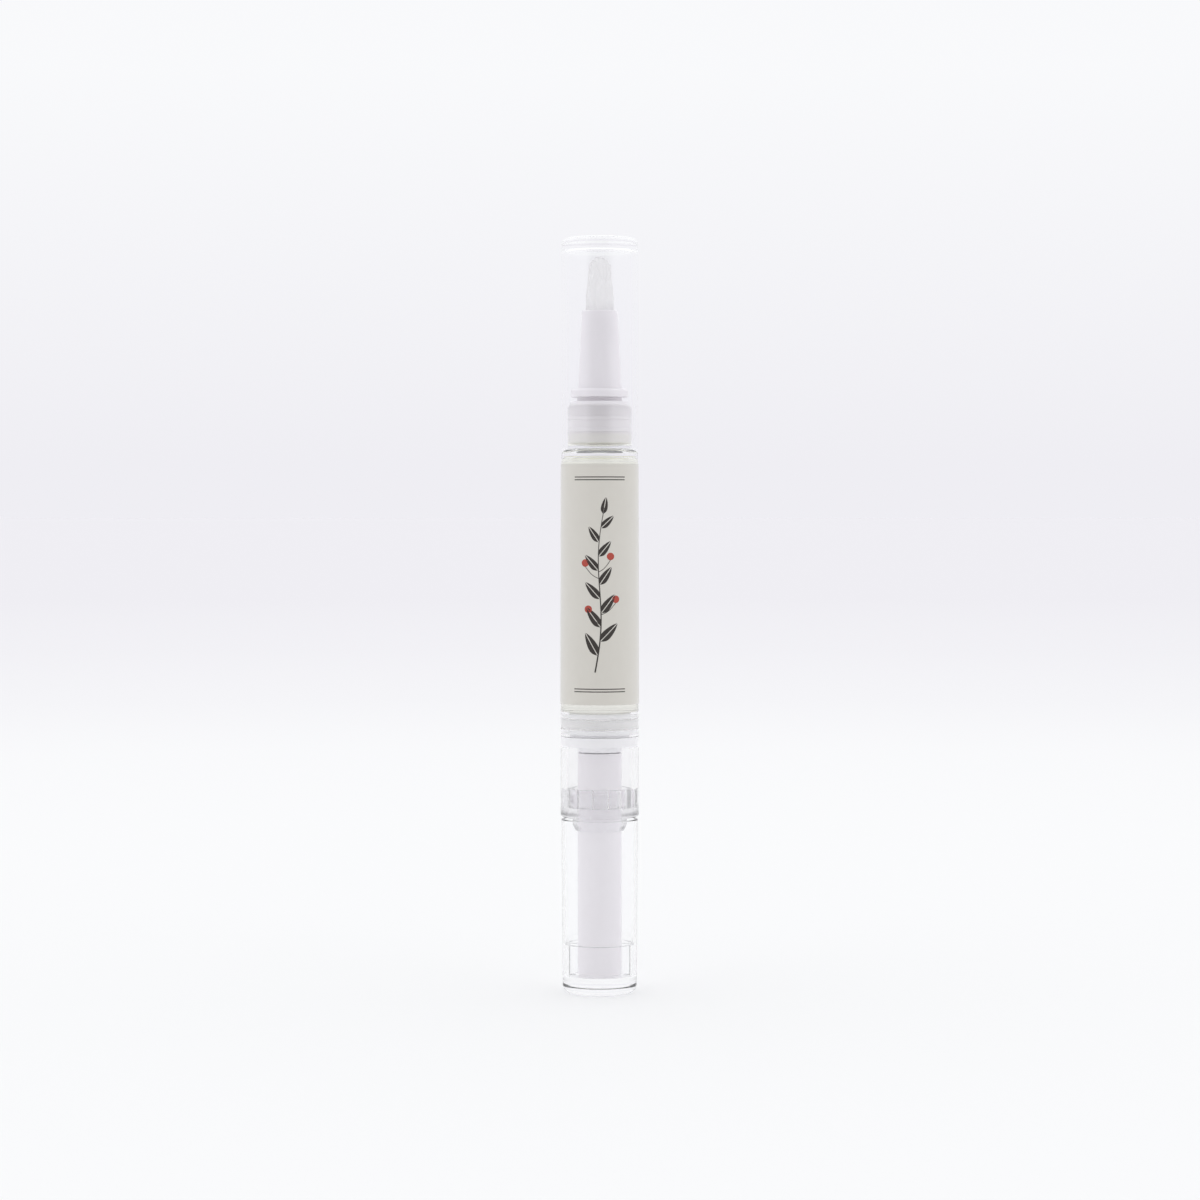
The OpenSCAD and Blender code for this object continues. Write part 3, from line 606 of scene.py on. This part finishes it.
oil = {
    "foot": 46.72, "wall": 5.215, "roof": 88.0, "roofTop": 88.7, "neck": 4.015,
    "footRound": 0.05, "roofRound": 0.25, "throatRound": 0.15,
    # share of the neck's radius and height
    "meniscus": ((1.0, 88.98), (0.9, 88.76), (0.78, 88.64), (0.0, 88.64)),
    "anchor": 89.05, "keep": 0.2204,
}
oilMesh = turnedPiece(
    [(0, oil["foot"]), (oil["wall"], oil["foot"], oil["footRound"]),
     (oil["wall"], oil["roof"], oil["roofRound"]),
     (oil["neck"], oil["roofTop"], oil["throatRound"])]
    + [(oil["neck"] * share, z) for share, z in oil["meniscus"]])
oilPiece = finishPiece("oilFill", oilMesh, "oilPale", "barrel", "oil", ["nail_oil"])
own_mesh(oilPiece)

# Thin films of oil round the piston's waist and the nozzle's plug
film = {
    "waistFoot": 44.02, "waistTop": 45.48, "waistInner": 4.49, "spread": 0.2, "round": 0.05,
    "plugFoot": 90.7, "plugMiddle": 92.6, "plugTop": 97.3, "plugInner": 3.79, "slope": 0.3,
}
waistMesh = turnedPiece([
    (film["waistInner"], film["waistFoot"], film["round"]),
    (oil["wall"], film["waistFoot"] - film["spread"]),
    (oil["wall"], film["waistTop"] + film["spread"]),
    (film["waistInner"], film["waistTop"], film["round"])])
finishPiece("oilFilm", waistMesh, "filmClear", "piston", "oil")
poolMesh = turnedPiece([
    (film["plugInner"], film["plugFoot"] + film["slope"]),
    (oil["neck"], film["plugFoot"], film["round"]),
    (oil["neck"], film["plugMiddle"]), (film["plugInner"], film["plugMiddle"])])
finishPiece("plugPool", poolMesh, "filmPale", "barrel", "oil")
plugMesh = turnedPiece([
    (film["plugInner"], film["plugMiddle"]), (oil["neck"], film["plugMiddle"]),
    (oil["neck"], film["plugTop"]), (film["plugInner"], film["plugTop"])])
finishPiece("plugFilm", plugMesh, "filmClear", "barrel", "oil")

# A flat drop that hangs under the plug
drop = {"flat": 91.0, "foot": 90.5, "radius": 3.5, "steps": 7}


def dropOutline(d):
    turns = [pi / 2 * i / d["steps"] for i in range(1, d["steps"])]
    return (
        [(0, d["flat"]), (d["radius"], d["flat"])]
        + [(d["radius"] * cos(t), d["flat"] - (d["flat"] - d["foot"]) * sin(t)) for t in turns]
        + [(0, d["foot"])])


finishPiece("oilDrop", turnedPiece(dropOutline(drop)), "filmClear", "barrel", "oil")

# piston
piston = {
    "foot": 42.0, "tailRadius": 4.9, "tailRound": 0.12, "lip": 43.0, "lipRadius": 5.206,
    "waist": 44.0, "waistRadius": 4.5, "crown": 45.5, "top": 46.7, "bevel": 0.25, "edge": 0.1,
    "socket": 1.85, "socketFoot": 43.8, "socketTop": 45.15, "entry": 1.4,
}


def pistonOutline(p):
    return [
        (p["entry"], p["foot"]), (p["tailRadius"], p["foot"], p["tailRound"]),
        (p["tailRadius"], p["lip"]), (p["lipRadius"], p["lip"], p["edge"]),
        (p["lipRadius"], p["waist"] - p["bevel"], p["edge"]),
        (p["waistRadius"], p["waist"], p["edge"]), (p["waistRadius"], p["crown"], p["edge"]),
        (p["lipRadius"], p["crown"] + p["bevel"], p["edge"]),
        (p["lipRadius"], p["top"] - p["bevel"], p["edge"]),
        (p["lipRadius"] - p["bevel"], p["top"], p["edge"]), (0, p["top"]),
        (0, p["socketTop"]), (p["socket"], p["socketTop"]), (p["socket"], p["socketFoot"]),
        (p["entry"], p["socketFoot"]),
    ]


pistonMesh = turnedPiece(pistonOutline(piston))
finishPiece("pistonPlug", pistonMesh, "naturalPlastic", "piston", "natural_plastic", ["piston"])

# knob
knob = {
    "footRadius": 6.15, "footRound": 1.4, "rim": 28.9, "rimRadius": 6.35, "rimRound": 0.16,
    "wall": 0.5, "edge": 0.1, "socketTop": 8.2, "socket": 5.15, "floor": 3.0,
    "ribs": 2, "ribFaces": 4, "ribReach": 3.28, "steps": 192, "weld": 1e-4,
    "gateRadius": 1.1, "gateDepth": 0.12,
}


def knobOutline(k):
    wallTop = k["rimRadius"] - k["wall"]
    wallFoot = coneRadius(k["socketTop"], 0, k["footRadius"], k["rim"], k["rimRadius"]) - k["wall"]
    return [
        (0, k["gateDepth"]), (k["gateRadius"], k["gateDepth"]),
        (k["gateRadius"] + k["gateDepth"], 0), (k["footRadius"], 0, k["footRound"]),
        (k["rimRadius"], k["rim"], k["rimRound"]), (wallTop, k["rim"], k["edge"]),
        (wallFoot, k["socketTop"]), (k["socket"], k["socketTop"]), (k["socket"], k["floor"]),
        (k["ribReach"], k["floor"]), (0, k["floor"]),
    ]


def knobMesh(k):
    # the turned shell, with its ribs drawn in from a few faces of the socket's wall
    bm = turnedPiece(knobOutline(k), k["steps"])
    pitch = 360 / k["ribs"]
    half = k["ribFaces"] / 2 * 360 / k["steps"]

    def behindRibs(r0, r1, z0, z1):
        found = []
        for face in bm.faces:
            c = face.calc_center_median()
            a = (degrees(atan2(c.y, c.x)) + pitch / 2) % pitch - pitch / 2
            if abs(a) < half and all(
                    r0 - slack < hypot(v.co.x, v.co.y) < r1 + slack
                    and z0 - slack < v.co.z < z1 + slack for v in face.verts):
                found.append(face)
        return found

    wall = behindRibs(k["socket"], k["socket"], k["floor"], k["socketTop"])
    floorFaces = behindRibs(k["ribReach"], k["socket"], k["floor"], k["floor"])
    bmesh.ops.delete(bm, geom=floorFaces, context="FACES")
    for v in addedVerts(bmesh.ops.extrude_face_region(bm, geom=wall)):
        v.co.x *= k["ribReach"] / k["socket"]
        v.co.y *= k["ribReach"] / k["socket"]
    bmesh.ops.delete(bm, geom=[f for f in wall if f.is_valid], context="FACES")
    soles = behindRibs(k["ribReach"], k["socket"], k["floor"], k["floor"])
    bmesh.ops.delete(bm, geom=soles, context="FACES")
    bmesh.ops.remove_doubles(bm, verts=bm.verts[:], dist=k["weld"])
    return bm


knobShape = knobMesh(knob)
print("open edges in the knob:", sum(not e.is_manifold for e in knobShape.edges))
finishPiece("knobShell", knobShape, "knobClear", "knob", "knob_clear", ["knob"])

# ratchet bush, pressed into the tail's bore so that it touches it all round
bush = {
    "foot": 27.0, "bore": 3.75, "edge": 0.08, "spigotFoot": 4.0, "spigot": 4.5, "spigotEdge": 1.0,
    "spigotRound": 0.15, "tail": 29.3, "outer": 5.404, "top": 34.0, "floor": 30.9, "tip": 4.45,
    "root": 4.8, "teeth": 12, "turn": 15.0, "faceEnd": 1 / 12, "rootEnd": 1 / 3, "steps": 192,
}


def toothRadius(b, angle):
    # steep face, flat root, then a straight ramp back in to the next tip
    pitch = 360 / b["teeth"]
    share = ((angle - b["turn"]) % pitch) / pitch
    depth = b["root"] - b["tip"]
    if share < b["faceEnd"]:
        return b["tip"] + depth * share / b["faceEnd"]
    if share < b["rootEnd"]:
        return b["root"]
    return b["root"] - depth * (share - b["rootEnd"]) / (1 - b["rootEnd"])


def bushMesh(b):
    bm = turnedPiece([
        (b["bore"], b["foot"], b["edge"]), (b["spigotFoot"], b["foot"], b["edge"]),
        (b["spigot"], b["foot"] + b["spigotEdge"], b["spigotRound"]), (b["spigot"], b["tail"]),
        (b["outer"], b["tail"]), (b["outer"], b["top"]), (b["tip"], b["top"]),
        (b["tip"], b["floor"]), (b["bore"], b["floor"], b["edge"])], b["steps"])
    for v in bm.verts:
        if abs(hypot(v.co.x, v.co.y) - b["tip"]) < slack:
            grow = toothRadius(b, degrees(atan2(v.co.y, v.co.x))) / b["tip"]
            v.co.x *= grow
            v.co.y *= grow
    return bm


finishPiece(
    "bushBody", bushMesh(bush), "bushClear", "barrel", "barrel_clear", ["ratchet_bush"], sharp=20)

# The nut's flange is pressed in too: a band closes its gap to the bore
band = {"inner": 4.7, "outer": 5.404, "foot": 40.99, "top": 42.58, "edge": 0.02}
bandMesh = turnedPiece([
    (band["inner"], band["foot"]), (band["outer"], band["foot"], band["edge"]),
    (band["outer"], band["top"], band["edge"]), (band["inner"], band["top"])])
finishPiece("nutBand", bandMesh, "nutPlastic", "barrel", "natural_plastic")

# CAD nodes that keep their shape
nodeFinish = {
    "brush_collar": "whitePlastic", "feed_tube": "naturalPlastic", "drive_screw": "whitePlastic",
    "screw_nut": "nutPlastic", "driver_sleeve": "whitePlastic", "click_ring": "whitePlastic",
}
for nodeName, finish in nodeFinish.items():
    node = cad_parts[nodeName]
    node.data.materials.clear()
    node.data.materials.append(materials[finish])
print("CAD nodes finished:", len(nodeFinish))

# floor, studio light and camera
floor = {
    # near is the paper's own colour; far is the same paper in painted shade
    "near": (0.898, 0.899, 0.894), "far": (0.806, 0.793, 0.818), "size": 80.0,
    # metres away and share of the far tint, which is painted shade where the studio's light falls
    # off
    "fade": ((0.3, 0.0), (0.55, 0.1), (0.83, 0.45), (1.33, 0.74), (2.4, 1.0)),
    "rough": 0.9, "shine": 0.1,
}


def makeFloor(f):
    bm = bmesh.new()
    bmesh.ops.create_grid(bm, x_segments=1, y_segments=1, size=f["size"] / 2)
    mesh = bpy.data.meshes.new("studioFloor")
    bm.to_mesh(mesh)
    bm.free()
    material = bpy.data.materials.new("studioPaper")
    material.use_nodes = True
    tree = material.node_tree
    shader = tree.nodes["Principled BSDF"]
    shader.inputs["Roughness"].default_value = f["rough"]
    shader.inputs["Specular IOR Level"].default_value = f["shine"]
    coords = addNode(tree, "ShaderNodeTexCoord")
    distance = addNode(tree, "ShaderNodeVectorMath", operation="LENGTH")
    tree.links.new(coords.outputs["Object"], distance.inputs["Vector"])
    reach = f["fade"][-1][0]
    away = addRange(tree, distance.outputs["Value"], (0.0, reach))
    fade = addNode(tree, "ShaderNodeValToRGB")
    tree.links.new(away, fade.inputs["Fac"])
    stops = fade.color_ramp.elements
    for metres, _ in f["fade"][1:-1]:
        stops.new(metres / reach)
    stops[0].position = f["fade"][0][0] / reach
    for stop, (_, share) in zip(stops, f["fade"]):
        stop.color = (share, share, share, 1)
    # painted shade: the paper darkens towards the far tint with distance from the pen
    tint = mixColours(tree, fade.outputs["Color"], f["near"], f["far"])
    tree.links.new(tint, shader.inputs["Base Color"])
    mesh.materials.append(material)
    sheet = bpy.data.objects.new("studioFloor", mesh)
    scene.collection.objects.link(sheet)


makeFloor(floor)

studio = {
    "low": (0.863, 0.855, 0.897), "high": (0.945, 0.95, 0.967), "paleFrom": 0.015, "paleTo": 0.135,
    "sky": 1.24, "skyFrom": 0.15, "skyTo": 0.6,
    "front": 0.3, "frontFrom": 0.64, "frontTo": 0.985, "frontRise": 0.2,
}


def makeStudio(s):
    world = bpy.data.worlds.new("studioDome")
    scene.world = world
    world.use_nodes = True
    tree = world.node_tree
    tree.nodes.clear()
    link = tree.links.new
    coords = addNode(tree, "ShaderNodeTexCoord")
    split = addNode(tree, "ShaderNodeSeparateXYZ")
    link(coords.outputs["Generated"], split.inputs["Vector"])
    rise = addRange(tree, split.outputs["Z"], (s["paleFrom"], s["paleTo"]))
    pale = mixColours(tree, rise, s["low"], s["high"])
    # the light of the room: brighter overhead, dim round the camera
    sky = addRange(tree, split.outputs["Z"], (s["skyFrom"], s["skyTo"]), (1.0, s["sky"]))
    towards = addNode(tree, "ShaderNodeVectorMath", operation="DOT_PRODUCT")
    link(coords.outputs["Generated"], towards.inputs[0])
    towards.inputs[1].default_value = Vector((0, -1, s["frontRise"])).normalized()
    front = addRange(
        tree, towards.outputs["Value"], (s["frontFrom"], s["frontTo"]), (1.0, s["front"]),
        interpolation_type="SMOOTHSTEP")
    level = addMath(tree, "MULTIPLY", sky, front)
    # the camera sees the plain backdrop, also through clear plastic that doesn't mirror
    rays = addNode(tree, "ShaderNodeLightPath").outputs
    unmirrored = addMath(tree, "LESS_THAN", rays["Glossy Depth"], 0.5)
    through = addMath(tree, "MULTIPLY", rays["Is Transmission Ray"], unmirrored)
    shown = addMath(tree, "MAXIMUM", rays["Is Camera Ray"], through)
    seen = addNode(tree, "ShaderNodeMix", data_type="FLOAT")
    link(shown, seen.inputs["Factor"])
    link(level, seen.inputs["A"])
    seen.inputs["B"].default_value = 1.0
    light = addNode(tree, "ShaderNodeBackground")
    link(pale, light.inputs["Color"])
    link(seen.outputs["Result"], light.inputs["Strength"])
    out = addNode(tree, "ShaderNodeOutputWorld")
    link(light.outputs[0], out.inputs["Surface"])


makeStudio(studio)
scene.view_settings.view_transform = "Standard"

cameraPlace = {
    "at": (0.00005, -0.532, 0.0798), "aim": (0.00005, 0.0, 0.0652), "lens": 96.4, "sensor": 36.0,
    "clipStart": 0.01, "clipEnd": 50,
}
lensData = bpy.data.cameras.new("photoCamera")
lensData.lens = cameraPlace["lens"]
lensData.sensor_width = cameraPlace["sensor"]
lensData.clip_start = cameraPlace["clipStart"]
lensData.clip_end = cameraPlace["clipEnd"]
photoCamera = bpy.data.objects.new("photoCamera", lensData)
scene.collection.objects.link(photoCamera)
lookAlong = Vector(cameraPlace["aim"]) - Vector(cameraPlace["at"])
photoCamera.location = cameraPlace["at"]
photoCamera.rotation_mode = "QUATERNION"
photoCamera.rotation_quaternion = lookAlong.to_track_quat("-Z", "Y")
scene.camera = photoCamera
print("studio and camera made")
